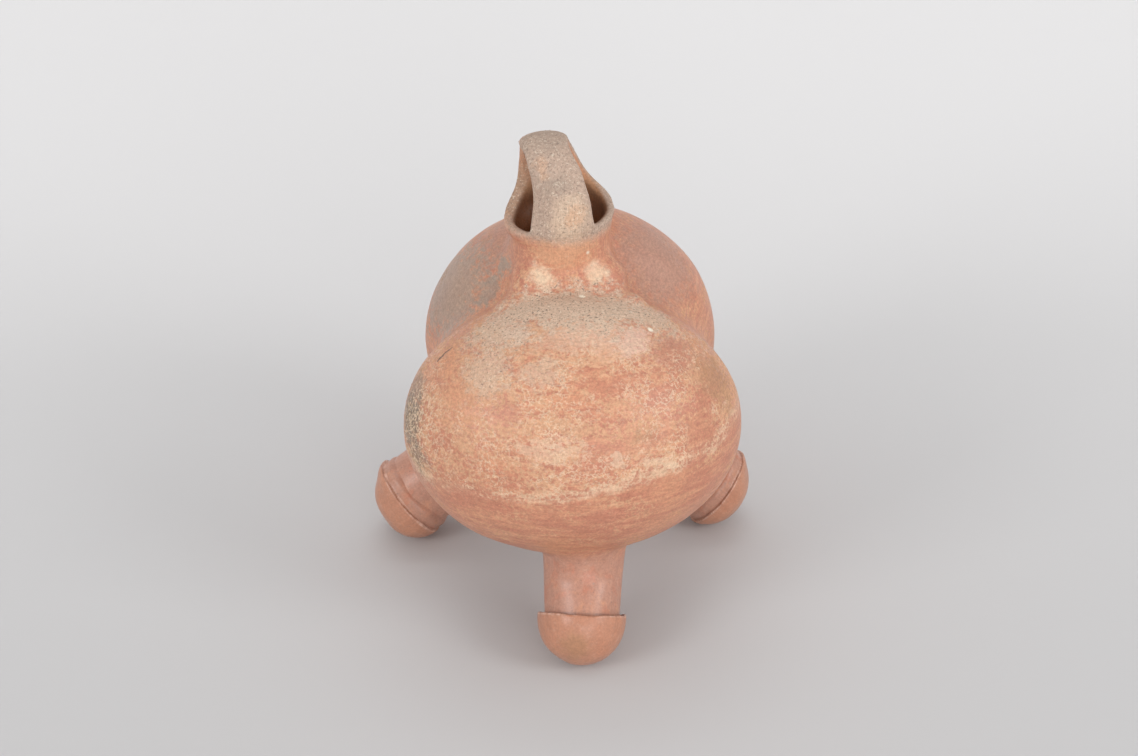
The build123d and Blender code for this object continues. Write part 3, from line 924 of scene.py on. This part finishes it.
# Marks on the clay: colour, middle and reach in millimetres, and strength
MARKS = (
    ("pink", (-31, 32, 175), (26, 28, 18), 0.7),
    ("pink", (47, 21, 167), (28, 32, 24), 0.9),
    ("buff", (3, -51, 171), (30, 18, 16), 0.7),
    ("rub", (6, -50, 171), (26, 14, 12), 0.4),
    ("orange", (61, -40, 153), (14, 20, 18), 0.6),
    ("orange", (-54, -65, 145), (18, 14, 14), 0.5),
    ("orange", (0, -10, 188), (28, 16, 9), 0.9),
    ("orange", (-52, -20, 160), (18, 12, 8), 0.5),
    ("red", (-58, -78, 103), (24, 14, 10), 0.7),
    ("red", (-62, -71, 127), (9, 8, 8), 0.8),
    ("red", (13, -75, 157), (20, 8, 4), 0.75),
    ("red", (39, -73, 150), (28, 9, 6), 0.6),
    ("red", (10, -93, 126), (16, 8, 11), 0.6),
    ("pink", (48, -53, 158), (15, 12, 12), 0.5),
    ("red", (47, -55, 158), (14, 11, 10), 0.6),
    ("brown", (67, -51, 142), (14, 16, 18), 0.6),
    ("brown", (31, -87, 134), (7, 5, 4), 0.5),
    ("red", (56, -72, 130), (20, 12, 13), 0.6),
    ("rub", (29, -53, 166), (12, 9, 8), 0.75),
    ("rub", (-27, -45, 169), (7, 6, 6), 0.6),
    ("cream", (-13, -90, 133), (18, 9, 9), 0.45),
    ("cream", (40, -88, 122), (11, 6, 5), 0.5),
    ("cream", (17, -93, 127), (7, 5, 5), 0.5),
    ("cloud", (-57, 26, 151), (30, 32, 32), 0.8),
    ("cloud", (-29, 10, 172), (6, 7, 8), 0.85),
    ("cloud", (-37, 6, 161), (10, 8, 9), 0.75),
    ("smoke", (-77, -36, 137), (9, 18, 18), 0.65),
    ("smoke", (-80, -48, 124), (10, 17, 16), 0.95),
    ("smoke", (-77, -60, 111), (11, 14, 11), 0.75),
    ("buff", (0, -10, 190), (26, 18, 7), 0.5),
    ("orange", (-59, -42, 152), (11, 9, 7), 0.9),
)

# How far a mark's edge is broken into flakes, where that isn't a fifth
FLAKY = {"cream": 1.0, "red": 1.0, "buff": 1.0, "cloud": 0.45}

# Places where the slip has weathered down to sandy clay
SANDY_MARKS = (
    ((0, -30, 173), (66, 22, 18), 1.0),
    ((-34, -38, 168), (24, 20, 14), 0.8),
    ((38, -32, 168), (24, 16, 12), 0.8),
    ((-40, -60, 158), (16, 16, 12), 0.6),
    ((-16, -68, 161), (14, 10, 7), 0.5),
)

# White chips in the clay: place and radius in millimetres
CHIPS = (
    ((6, -18, 171), 1.6),
    ((37, -42, 167), 1.5),
    ((9, -4, 188), 1.4),
    ((-5, -2, 178), 1.0),
)

# Soft marks on the neck, the sandy handle and the front foot. The first two, in cream, are painted light on
# the neck's shoulders, which face the lamps
SOFT_MARKS_AND_LIGHT = (
    # Painted light on the neck's two shoulders
    ("cream", (-15, -12, 179), (8, 10, 7.5), 0.95),
    ("cream", (13, -9, 179), (8, 9, 6.5), 0.75),
    ("cream", (0, -9, 206), (13, 8, 12), 0.45),
    ("sand", (0, -10, 211), (12, 9, 9), 0.85),
    ("buff", (4, -10, 210), (6, 6, 5), 0.5),
    ("cloud", (-7, -5, 224), (8, 8, 6), 0.6),
    ("cloud", (-8, 14, 241), (14, 16, 7), 0.4),
    ("buff", (-12, 0, 230), (4, 8, 9), 0.4),
    ("brown", (-23, 28, 214), (13, 18, 22), 0.6),
    ("orange", (-20, 26, 223), (11, 16, 14), 0.5),
    ("brown", (14, 26, 212), (10, 16, 12), 0.65),
    ("brown", (-3, -98, 19), (10, 8, 9), 0.55),
)


class ClayPaint:
    """Builds the shader nodes of the clay's surface, with lengths in millimetres."""

    def __init__(self, tree):
        self.tree = tree
        self.colours = bpy.context.scene.askos_colours
        where = add_node(tree, "ShaderNodeTexCoord").outputs["Object"]
        self.place = self.vector("SCALE", where, Scale=1000.0)
        self.x, self.y, self.z = add_node(tree, "ShaderNodeSeparateXYZ", {0: self.place}).outputs
        self.ragged = self.shaken(self.shaken(self.place, 17.0, 4.0, 20.0), 4.5, 4.0, 7.0)
        self.fray = self.times(self.less(self.noise(2.1, 5.0, 0.75, (1.8, 1.8, 1.0)), 0.5), 1.3)

    def vector(self, operation, first, second=None, **inputs):
        """A vector sum."""
        given = {0: first, **inputs}
        if second is not None:
            given[1] = second
        node = add_node(self.tree, "ShaderNodeVectorMath", given, operation=operation)
        return node.outputs["Value" if operation in ("LENGTH", "DOT_PRODUCT") else "Vector"]

    def number(self, operation, first, second=0.0):
        """A sum of numbers."""
        return add_node(self.tree, "ShaderNodeMath", {0: first, 1: second}, operation=operation).outputs[0]

    def less(self, first, second):
        """One number less another."""
        return self.number("SUBTRACT", first, second)

    def apart(self, value, middle):
        """How far a number is from a middle, to either side."""
        return self.number("ABSOLUTE", self.less(value, middle))

    def folded(self, operation, values):
        """Numbers put together one after another."""
        total = values[0]
        for value in values[1:]:
            total = self.number(operation, total, value)
        return total

    def plus(self, *values):
        """The sum of some numbers."""
        return self.folded("ADD", values)

    def times(self, *values):
        """The product of some numbers."""
        return self.folded("MULTIPLY", values)

    def most(self, *values):
        """The greatest of some numbers."""
        return self.folded("MAXIMUM", values)

    def shaken(self, place, length, detail, reach):
        """A place moved about by noise."""
        noise = self.vector("SUBTRACT", self.noise(length, detail, output="Color"), (0.5, 0.5, 0.5))
        return self.vector("ADD", place, self.vector("SCALE", noise, Scale=reach))

    def noise(self, length, detail=3.0, rough=0.55, stretch=(1, 1, 1), place=None, output="Fac"):
        """Noise with features of about that length, drawn out along some axes."""
        scale = tuple(1.0 / (length * part) for part in stretch)
        spot = self.vector("MULTIPLY", place or self.place, scale)
        given = {"Vector": spot, "Scale": 1.0, "Detail": detail, "Roughness": rough}
        return add_node(self.tree, "ShaderNodeTexNoise", given).outputs[output]

    def ramp(self, value, start, end, low=0.0, high=1.0):
        """A smooth rise, or fall, between two values."""
        given = {"Value": value, 1: start, 2: end, 3: low, 4: high}
        return add_node(self.tree, "ShaderNodeMapRange", given, interpolation_type="SMOOTHSTEP").outputs[0]

    def between(self, value, start, full, fading, end):
        """A smooth rise followed by a smooth fall."""
        return self.times(self.ramp(value, start, full), self.ramp(value, end, fading))

    def mix(self, below, above, share):
        """One colour laid over another. A colour is a socket or the name of a setting."""
        node = add_node(self.tree, "ShaderNodeMix", {0: share}, data_type="RGBA")
        for slot, paint in ((6, below), (7, above)):
            if isinstance(paint, str):
                node.inputs[slot].default_value = (*getattr(self.colours, paint), 1)
            else:
                self.tree.links.new(paint, node.inputs[slot])
        return node.outputs[2]

    def mark(self, middle, reach, strength, flaky=0.0):
        """The share of a ragged mark round a place: soft at its edge or broken into flakes."""
        offset = self.vector("SUBTRACT", self.ragged, middle)
        far = self.vector("LENGTH", self.vector("DIVIDE", offset, reach))
        broken = self.plus(far, self.times(self.fray, 1.0 + 2.0 * flaky))
        return self.ramp(broken, 1.25 - 0.3 * flaky, 0.35 + 0.3 * flaky, 0.0, strength)

    def line(self, start, end, width):
        """The share of a ragged line between two places."""
        span = Vector(end) - Vector(start)
        offset = self.vector("SUBTRACT", self.shaken(self.place, 6.0, 3.0, 4.0), start)
        along = self.number("DIVIDE", self.vector("DOT_PRODUCT", offset, tuple(span)), span.length_squared)
        part = add_node(self.tree, "ShaderNodeClamp", {"Value": along}).outputs[0]
        nearest = self.vector("SCALE", tuple(span), Scale=part)
        far = self.vector("LENGTH", self.vector("SUBTRACT", offset, nearest))
        return self.ramp(far, width * 1.4, width * 0.4)

    def round_place(self, middle, radius):
        """The place round an upright drum of that radius, with the slope's angle for its height."""
        offset = self.vector("SUBTRACT", self.place, middle)
        level = self.vector("MULTIPLY", offset, (1, 1, 0))
        height = self.vector("DOT_PRODUCT", offset, (0, 0, 1))
        slope = self.number("ARCTAN2", height, self.vector("LENGTH", level))
        up = add_node(self.tree, "ShaderNodeCombineXYZ", {2: self.times(slope, radius)}).outputs[0]
        return self.vector("ADD", self.vector("SCALE", self.vector("NORMALIZE", level), Scale=radius), up)

    def leg_places(self, name):
        """Height along a leg's axis above the middle of its cap, and distance from the axis."""
        axis = tuple(leg_axis(name))
        offset = self.vector("SUBTRACT", self.place, tuple(LEGS[name][0] / MM))
        height = self.vector("DOT_PRODUCT", offset, axis)
        along = self.vector("SCALE", axis, Scale=height)
        return height, self.vector("LENGTH", self.vector("SUBTRACT", offset, along))


def leg_zones(paint):
    """Shares of the legs, their caps, the grooves behind the caps' lips and the lips' edges."""
    zones = {"leg": [], "cap": [], "groove": [], "lip": []}
    for name in LEGS:
        height, radius = paint.leg_places(name)
        root = LEG_LENGTHS[name] / MM
        lip = LIPS[name] / MM
        near = paint.ramp(radius, 31, 24)
        below_lip = paint.ramp(height, lip + 0.4, lip - 0.6, 0.0, 0.75)
        # The groove's share is where painted shade darkens the channel behind the lip
        deep = paint.between(height, lip - 2.6, lip - 2.0, lip + 0.2, lip + 0.9)
        edge = paint.between(height, lip - 1.4, lip - 0.6, lip + 0.3, lip + 0.9)
        zones["leg"].append(paint.times(paint.ramp(height, root + 5, root - 9), near))
        zones["cap"].append(paint.times(below_lip, near))
        zones["groove"].append(paint.times(deep, paint.ramp(radius, 20.4, 19.4)))
        zones["lip"].append(paint.times(edge, paint.ramp(radius, 20.2, 21.0)))
    return {zone: paint.most(*shares) for zone, shares in zones.items()}


# The seam round the front belly: its height in millimetres at x = 0, and its rise to the right
BELLY_SEAM_HEIGHT = 112.0
BELLY_SEAM_RISE = 0.135


def worn_slip(paint, strokes, speckle, stroke_place):
    """Slip worn through to buff clay, how worn it is, and the share above the front belly's seam."""
    blotches = paint.noise(30.0, 3.0, 0.5)
    front = paint.ramp(paint.y, -4, -34)
    seam = paint.less(paint.less(paint.z, BELLY_SEAM_HEIGHT), paint.times(paint.x, BELLY_SEAM_RISE))
    seam = paint.plus(seam, paint.times(paint.less(paint.noise(14.0, 5.0, 0.65), 0.5), 14.0))
    above = paint.times(paint.ramp(seam, -3.0, 3.0), front)

    reds = paint.plus(strokes, paint.times(blotches, 0.5))
    slip = paint.mix("orange", "red", paint.ramp(reds, 0.56, 0.86))
    wide_wear = paint.noise(9.0, 5.0, 0.62, (2.4, 2.4, 1.0), stroke_place)
    curls = paint.ramp(paint.apart(paint.noise(3.2, 2.0, 0.6), 0.5), 0.01, 0.09, 1.0, 0.0)
    wear = paint.plus(paint.times(wide_wear, 0.8), paint.times(curls, 0.16))
    wear = paint.plus(wear, paint.times(paint.less(speckle, 0.5), 0.35))
    bias = paint.plus(paint.times(above, 0.11), paint.times(paint.less(blotches, 0.5), 0.3))
    worn = paint.ramp(paint.plus(wear, bias), 0.5, 0.67)
    colour = paint.mix(slip, "buff", paint.times(worn, 0.85))
    pale_seam = paint.times(paint.ramp(paint.apart(seam, 0.0), 5.0, 1.2), front)
    colour = paint.mix(colour, "cream", paint.times(pale_seam, paint.ramp(wear, 0.35, 0.55, 0.05, 0.5)))
    return colour, worn, above


def marked_slip(paint, colour, above):
    """Slip with its own marks, a flake edge and root marks, and the share of the root marks."""
    for name, middle, reach, strength in MARKS:
        colour = paint.mix(colour, name, paint.mark(middle, reach, strength, FLAKY.get(name, 0.2)))

    # Root marks run over all of it, thickest on the grey left side
    patches = paint.ramp(paint.noise(18.0, 4.0, 0.65), 0.40, 0.62)
    root_zone = paint.times(patches, paint.ramp(above, 0.0, 1.0, 0.1, 0.75))
    root_zone = paint.most(root_zone, paint.mark((-74, -52, 122), (16, 26, 32), 1.0))
    threads = paint.ramp(paint.apart(paint.noise(3.0, 2.5, 0.6), 0.5), 0.05, 0.015)
    root_marks = paint.times(threads, root_zone)
    colour = paint.mix(colour, "cream", paint.times(root_marks, 0.8))

    # A flake edge on the left shoulder
    flake = paint.line((-64, -36, 149), (-57, -35, 156.5), 0.7)
    return paint.mix(colour, "soot_and_shade", paint.times(flake, 0.75)), root_marks


def leg_slip(paint, cap):
    """The slip that the legs and their caps keep."""
    slip = paint.mix("leg", "orange", paint.ramp(paint.noise(9.0, 5.0, 0.65), 0.5, 0.75, 0.0, 0.8))
    slip = paint.mix(slip, "red", paint.ramp(paint.noise(7.0, 4.0, 0.6, (1, 1, 2)), 0.52, 0.66, 0.0, 0.7))
    slip = paint.mix(slip, "soot_and_shade", paint.ramp(paint.noise(1.4, 2.0, 0.6), 0.66, 0.72, 0.0, 0.4))
    slip = paint.mix(slip, "cloud", paint.ramp(paint.noise(5.0, 3.0, 0.7), 0.66, 0.74, 0.0, 0.5))
    slip = paint.mix(slip, "cap", cap)
    return paint.mix(slip, "rub", paint.ramp(paint.noise(2.6, 5.0, 0.75), 0.5, 0.72, 0.0, 0.2))


def sandy_clay(paint, colour, bare):
    """Clay weathered down to sand, with pits and grit, and the shares of the sand and the pits."""
    high = paint.ramp(paint.plus(paint.z, paint.times(paint.fray, 6.0)), 191, 199)
    sandy = high
    for middle, reach, strength in SANDY_MARKS:
        sandy = paint.most(sandy, paint.mark(middle, reach, strength, 0.5))
    sandy = paint.times(sandy, bare)
    colour = paint.mix(colour, paint.mix("sand", "ash", high), paint.times(sandy, 0.9))
    # Soft marks, the first two of them painted light on the neck's shoulders
    for name, middle, reach, strength in SOFT_MARKS_AND_LIGHT:
        colour = paint.mix(colour, name, paint.mark(middle, reach, strength))
    pits = paint.times(paint.ramp(paint.noise(1.1, 2.0, 0.6), 0.585, 0.65), sandy)
    grits = paint.ramp(paint.noise(1.2, 2.0, 0.6, (1, 1, 1), paint.ragged), 0.58, 0.66)
    colour = paint.mix(colour, "soot_and_shade", paint.times(pits, paint.ramp(high, 0.0, 1.0, 0.75, 0.4)))
    colour = paint.mix(colour, "grit", paint.times(grits, sandy, 0.4))
    for middle, width in CHIPS:
        near = paint.vector("LENGTH", paint.vector("SUBTRACT", paint.place, middle))
        colour = paint.mix(colour, "grit", paint.ramp(near, width * 1.3, width * 0.7))
    return colour, sandy, pits


# The painted shade's radius inside the mouth, the rim's height and the arch's rise over it, in millimetres
MOUTH_RADIUS = 22.0
RIM_HEIGHT = 202.0
ARCH_RISE = 33.0


def painted_mouth_shade(paint, colour):
    """Painted shade: the clay darkened inside the mouth and under the arch of the handle, darkest low down.
    """
    off_axis = paint.vector("SUBTRACT", paint.place, tuple(NECK_AXIS / MM))
    level = paint.vector("MULTIPLY", off_axis, (1, 1, 0))
    across = paint.number("DIVIDE", paint.vector("LENGTH", level), MOUTH_RADIUS)
    up = paint.number("DIVIDE", paint.most(paint.less(paint.z, RIM_HEIGHT), 0.0), ARCH_RISE)
    inside = paint.number("SQRT", paint.plus(paint.times(across, across), paint.times(up, up)))
    # Painted shade: darkest at the bottom of the mouth, paler and more orange higher up under the arch
    within = paint.mix("brown", "mouth", paint.ramp(paint.z, 209, 197))
    within = paint.mix(within, "orange", paint.ramp(paint.z, 204, 216, 0.0, 0.8))
    return paint.mix(colour, within, paint.ramp(inside, 1.08, 0.98))


# The drum that burnishing strokes are drawn on: its middle and radius in millimetres
STROKE_MIDDLE = (0, 4, 108)
STROKE_RADIUS = 88.0


@cache
def clay_nodes():
    """A shader group with the clay's colour, roughness and height, shared by all the pieces."""
    tree = bpy.data.node_groups.new("Clay surface", "ShaderNodeTree")
    for name, kind in (("Colour", "Color"), ("Roughness", "Float"), ("Height", "Float")):
        tree.interface.new_socket(name, in_out="OUTPUT", socket_type=f"NodeSocket{kind}")
    paint = ClayPaint(tree)

    # Burnishing strokes run level round the upright axis of the vessel
    stroke_place = paint.round_place(STROKE_MIDDLE, STROKE_RADIUS)
    strokes = paint.noise(2.6, 6.0, 0.66, (7.0, 7.0, 1.0), stroke_place)
    speckle = paint.noise(1.7, 5.0, 0.75, (2.6, 2.6, 1.0), stroke_place)
    fine = paint.plus(paint.times(paint.noise(1.2, 3.0, 0.75), 0.6), paint.times(speckle, 0.4))

    zones = leg_zones(paint)
    leg = zones["leg"]
    bare = paint.ramp(leg, 1.0, 0.0)
    colour, worn, above = worn_slip(paint, strokes, speckle, stroke_place)
    colour, root_marks = marked_slip(paint, colour, above)
    colour = paint.mix(colour, leg_slip(paint, zones["cap"]), leg)
    colour, sandy, pits = sandy_clay(paint, colour, bare)
    colour = painted_mouth_shade(paint, colour)
    # Painted shade in the channels behind the caps' lips
    groove_shade = paint.times(zones["groove"], paint.ramp(speckle, 0.3, 0.6, 0.05, 0.35))
    colour = paint.mix(colour, "soot_and_shade", groove_shade)
    rubbed = paint.times(zones["lip"], paint.ramp(speckle, 0.4, 0.6, 0.1, 0.7))
    colour = paint.mix(colour, "rub", rubbed)

    # The legs are more even than the body
    darkest = paint.ramp(leg, 0.0, 1.0, 0.76, 0.84)
    palest = paint.ramp(leg, 0.0, 1.0, 1.2, 1.13)
    shade = paint.ramp(fine, 0.3, 0.7, darkest, palest)
    rough = paint.most(sandy, paint.times(worn, bare), paint.times(bare, 0.25))
    relief = paint.plus(paint.times(fine, 0.8), paint.times(strokes, 0.5))
    sunk = paint.plus(pits, paint.times(root_marks, 0.3))
    outputs = {
        "Colour": paint.vector("SCALE", colour, Scale=shade),
        "Roughness": paint.ramp(rough, 0.0, 1.0, 0.33, 0.85),
        "Height": paint.less(relief, sunk),
    }
    add_node(tree, "NodeGroupOutput", outputs)
    return tree


@cache
def clay_material(slot):
    """The clay material of a slot, made once."""
    material = bpy.data.materials.new(slot)
    material.use_nodes = True
    tree = material.node_tree
    surface = tree.nodes.new("ShaderNodeGroup")
    surface.node_tree = clay_nodes()
    raised = {"Height": surface.outputs["Height"], "Strength": 0.35, "Distance": 0.4 * MM}
    bump = add_node(tree, "ShaderNodeBump", raised)
    shader = tree.nodes["Principled BSDF"]
    shader.inputs["Specular IOR Level"].default_value = 0.45
    tree.links.new(surface.outputs["Colour"], shader.inputs["Base Color"])
    tree.links.new(surface.outputs["Roughness"], shader.inputs["Roughness"])
    tree.links.new(bump.outputs["Normal"], shader.inputs["Normal"])
    return material


# Operators


class ASKOS_OT_chambers(bpy.types.Operator):
    """Add the two chambers and the waist between them"""

    bl_idname = "askos.chambers"
    bl_label = "Chambers and waist"

    def execute(self, context):
        add_skin_piece("front_bowl_skin", "front_bowl", RED_SLOT, ("front_lower_bowl",))
        add_skin_piece("front_shell_skin", "front_shell", PALE_SLOT, ("front_upper_shell",))
        add_skin_piece("waist_skin", "waist", PALE_SLOT, ("waist_band",))
        add_skin_piece("rear_bowl_skin", "rear_bowl", RED_SLOT, ("rear_lower_bowl",))
        add_skin_piece("rear_shell_skin", "rear_shell", PALE_SLOT, ("rear_upper_shell",))
        return {"FINISHED"}


class ASKOS_OT_neck(bpy.types.Operator):
    """Add the neck with its flared root"""

    bl_idname = "askos.neck"
    bl_label = "Neck"

    def execute(self, context):
        add_skin_piece("neck_skin", "neck", SANDY_SLOT, ("neck", "neck_coil"))
        return {"FINISHED"}


class ASKOS_OT_handle(bpy.types.Operator):
    """Add the strap and the tongue of the handle over the mouth"""

    bl_idname = "askos.handle"
    bl_label = "Handle"

    def execute(self, context):
        add_skin_piece("handle_strap_skin", "strap", SANDY_SLOT, ("handle_front_strap",))
        add_skin_piece("handle_tongue_skin", "tongue", SANDY_SLOT, ("handle_rear_tongue",))
        return {"FINISHED"}


class ASKOS_OT_legs(bpy.types.Operator):
    """Add the three legs with their flared roots"""

    bl_idname = "askos.legs"
    bl_label = "Legs"

    def execute(self, context):
        for name in LEGS:
            add_skin_piece(f"{name}_leg_skin", f"{name}_leg", RED_SLOT, (f"{name}_leg", f"{name}_leg_coil"))
        return {"FINISHED"}


class ASKOS_OT_caps(bpy.types.Operator):
    """Add the domed caps that the legs end in"""

    bl_idname = "askos.caps"
    bl_label = "Foot caps"

    def execute(self, context):
        for name in LEGS:
            add_piece(f"{name}_cap_skin", cap_mesh(name), RED_SLOT, (f"{name}_foot_cap",))
        return {"FINISHED"}


class ASKOS_OT_grits(bpy.types.Operator):
    """Add the temper grits that stand out of the weathered clay"""

    bl_idname = "askos.grits"
    bl_label = "Temper grits"

    def execute(self, context):
        add_piece("temper_grits", grit_mesh(), SANDY_SLOT, ())
        return {"FINISHED"}


class ASKOS_OT_stage(bpy.types.Operator):
    """Add the paper backdrop, the lamps and the camera"""

    bl_idname = "askos.stage"
    bl_label = "Stage"

    def execute(self, context):
        scene = context.scene
        stage = scene.askos_stage
        scene.view_settings.view_transform = "Standard"
        add_backdrop(stage)
        add_lamps()
        data = bpy.data.cameras.new("camera")
        data.lens = stage.lens
        data.sensor_width = 36.0
        data.sensor_fit = "HORIZONTAL"
        camera = put("camera", data)
        level = Vector((math.sin(stage.azimuth), -math.cos(stage.azimuth), 0.0)) * math.cos(stage.elevation)
        back = level + Vector((0.0, 0.0, math.sin(stage.elevation)))
        camera.location = Vector(stage.target) + stage.distance * back
        camera.rotation_euler = (-back).to_track_quat("-Z", "Y").to_euler()
        scene.camera = camera
        return {"FINISHED"}


def add_backdrop(stage):
    """A sheet of paper that runs along the floor and bends up behind the vessel."""
    front_edge, half_width = -3.0, 3.0
    bend_start, bend_radius, bend_angle, bend_steps = 0.2, 0.65, math.radians(80), 24
    wall_lean, wall_rise = 0.4, 2.2
    rows = [(front_edge, 0.0), (bend_start, 0.0)]
    for step in range(1, bend_steps + 1):
        bend = bend_angle * step / bend_steps
        rows.append((bend_start + bend_radius * math.sin(bend), bend_radius * (1 - math.cos(bend))))
    end_y, end_z = rows[-1]
    rows.append((end_y + wall_lean, end_z + wall_rise))
    shape = bmesh.new()
    strips = [[shape.verts.new((x, y, z)) for x in (-half_width, half_width)] for y, z in rows]
    for low, high in zip(strips, strips[1:]):
        shape.faces.new((low[0], low[1], high[1], high[0]))
    mesh = finished(shape, "backdrop")
    mesh.shade_smooth()
    material = bpy.data.materials.new("backdrop paper")
    material.use_nodes = True
    shader = material.node_tree.nodes["Principled BSDF"]
    shader.inputs["Base Color"].default_value = (*stage.paper, 1)
    shader.inputs["Roughness"].default_value = 0.9
    shader.inputs["Specular IOR Level"].default_value = 0.15
    see_through_from_behind(material.node_tree, shader)
    mesh.materials.append(material)
    backdrop = put("backdrop", mesh)


def see_through_from_behind(tree, shader):
    """Let a camera that stands behind the paper see the vessel."""
    behind = tree.nodes.new("ShaderNodeNewGeometry").outputs["Backfacing"]
    seen = tree.nodes.new("ShaderNodeLightPath").outputs["Is Camera Ray"]
    share = add_node(tree, "ShaderNodeMath", {0: behind, 1: seen}, operation="MULTIPLY").outputs[0]
    clear = tree.nodes.new("ShaderNodeBsdfTransparent").outputs[0]
    paper = add_node(tree, "ShaderNodeMixShader", {0: share, 1: shader.outputs[0], 2: clear}).outputs[0]
    tree.links.new(paper, tree.nodes["Material Output"].inputs["Surface"])


# Soft boxes: place, point aimed at, width and height in metres, power in watts and spread in degrees.
# The room adds an even light
LAMPS = (
    ("left lamp", (-1.35, -1.0, 0.95), (0.0, 0.0, 0.1), (0.7, 0.7), 9.5, 180.0),
    ("right lamp", (1.35, -0.9, 1.0), (0.0, 0.0, 0.1), (0.7, 0.7), 9.2, 180.0),
    ("front lamp", (0.5, -1.75, 0.42), (0.0, 0.0, 0.05), (1.4, 0.6), 7.0, 180.0),
    ("backdrop lamp", (0.0, 0.55, 1.15), (0.0, 0.55, 0.0), (2.6, 0.5), 3.05, 72.0),
)
ROOM_LIGHT = 0.66


def add_lamps():
    """Soft boxes round the vessel and above the backdrop, and a dim room."""
    for name, place, aim, size, power, spread in LAMPS:
        data = bpy.data.lights.new(name, "AREA")
        data.shape = "RECTANGLE"
        data.size, data.size_y = size
        data.energy = power
        data.spread = math.radians(spread)
        lamp = put(name, data)
        lamp.location = place
        lamp.rotation_euler = (Vector(aim) - Vector(place)).to_track_quat("-Z", "Y").to_euler()
    world = bpy.data.worlds.new("room")
    world.use_nodes = True
    room = world.node_tree.nodes["Background"].inputs
    room["Color"].default_value = (1, 1, 1, 1)
    room["Strength"].default_value = ROOM_LIGHT
    bpy.context.scene.world = world


class ASKOS_PT_panel(bpy.types.Panel):
    """Lists the pieces of the askos"""

    bl_idname = "ASKOS_PT_panel"
    bl_label = "Tripod askos"
    bl_space_type = "VIEW_3D"
    bl_region_type = "UI"
    bl_category = "Askos"

    def draw(self, context):
        for operator in OPERATORS:
            self.layout.operator(operator.bl_idname)
        for group in (context.scene.askos_form, context.scene.askos_colours, context.scene.askos_stage):
            column = self.layout.column()
            for name in group.__annotations__:
                column.prop(group, name)


GROUPS = {"askos_form": AskosForm, "askos_colours": AskosColours, "askos_stage": AskosStage}
OPERATORS = (
    ASKOS_OT_chambers,
    ASKOS_OT_neck,
    ASKOS_OT_handle,
    ASKOS_OT_legs,
    ASKOS_OT_caps,
    ASKOS_OT_grits,
    ASKOS_OT_stage,
)


def register():
    """Register the settings, the operators and the panel."""
    for name, group in GROUPS.items():
        bpy.utils.register_class(group)
        setattr(bpy.types.Scene, name, PointerProperty(type=group))
    for operator in OPERATORS:
        bpy.utils.register_class(operator)
    bpy.utils.register_class(ASKOS_PT_panel)


def unregister():
    """Take the panel, the operators and the settings away again."""
    bpy.utils.unregister_class(ASKOS_PT_panel)
    for operator in reversed(OPERATORS):
        bpy.utils.unregister_class(operator)
    for name, group in reversed(GROUPS.items()):
        delattr(bpy.types.Scene, name)
        bpy.utils.unregister_class(group)


def main():
    """Build every piece."""
    register()
    bpy.ops.askos.chambers()
    bpy.ops.askos.neck()
    bpy.ops.askos.handle()
    bpy.ops.askos.legs()
    bpy.ops.askos.caps()
    bpy.ops.askos.grits()
    bpy.ops.askos.stage()


if __name__ == "__main__":
    main()
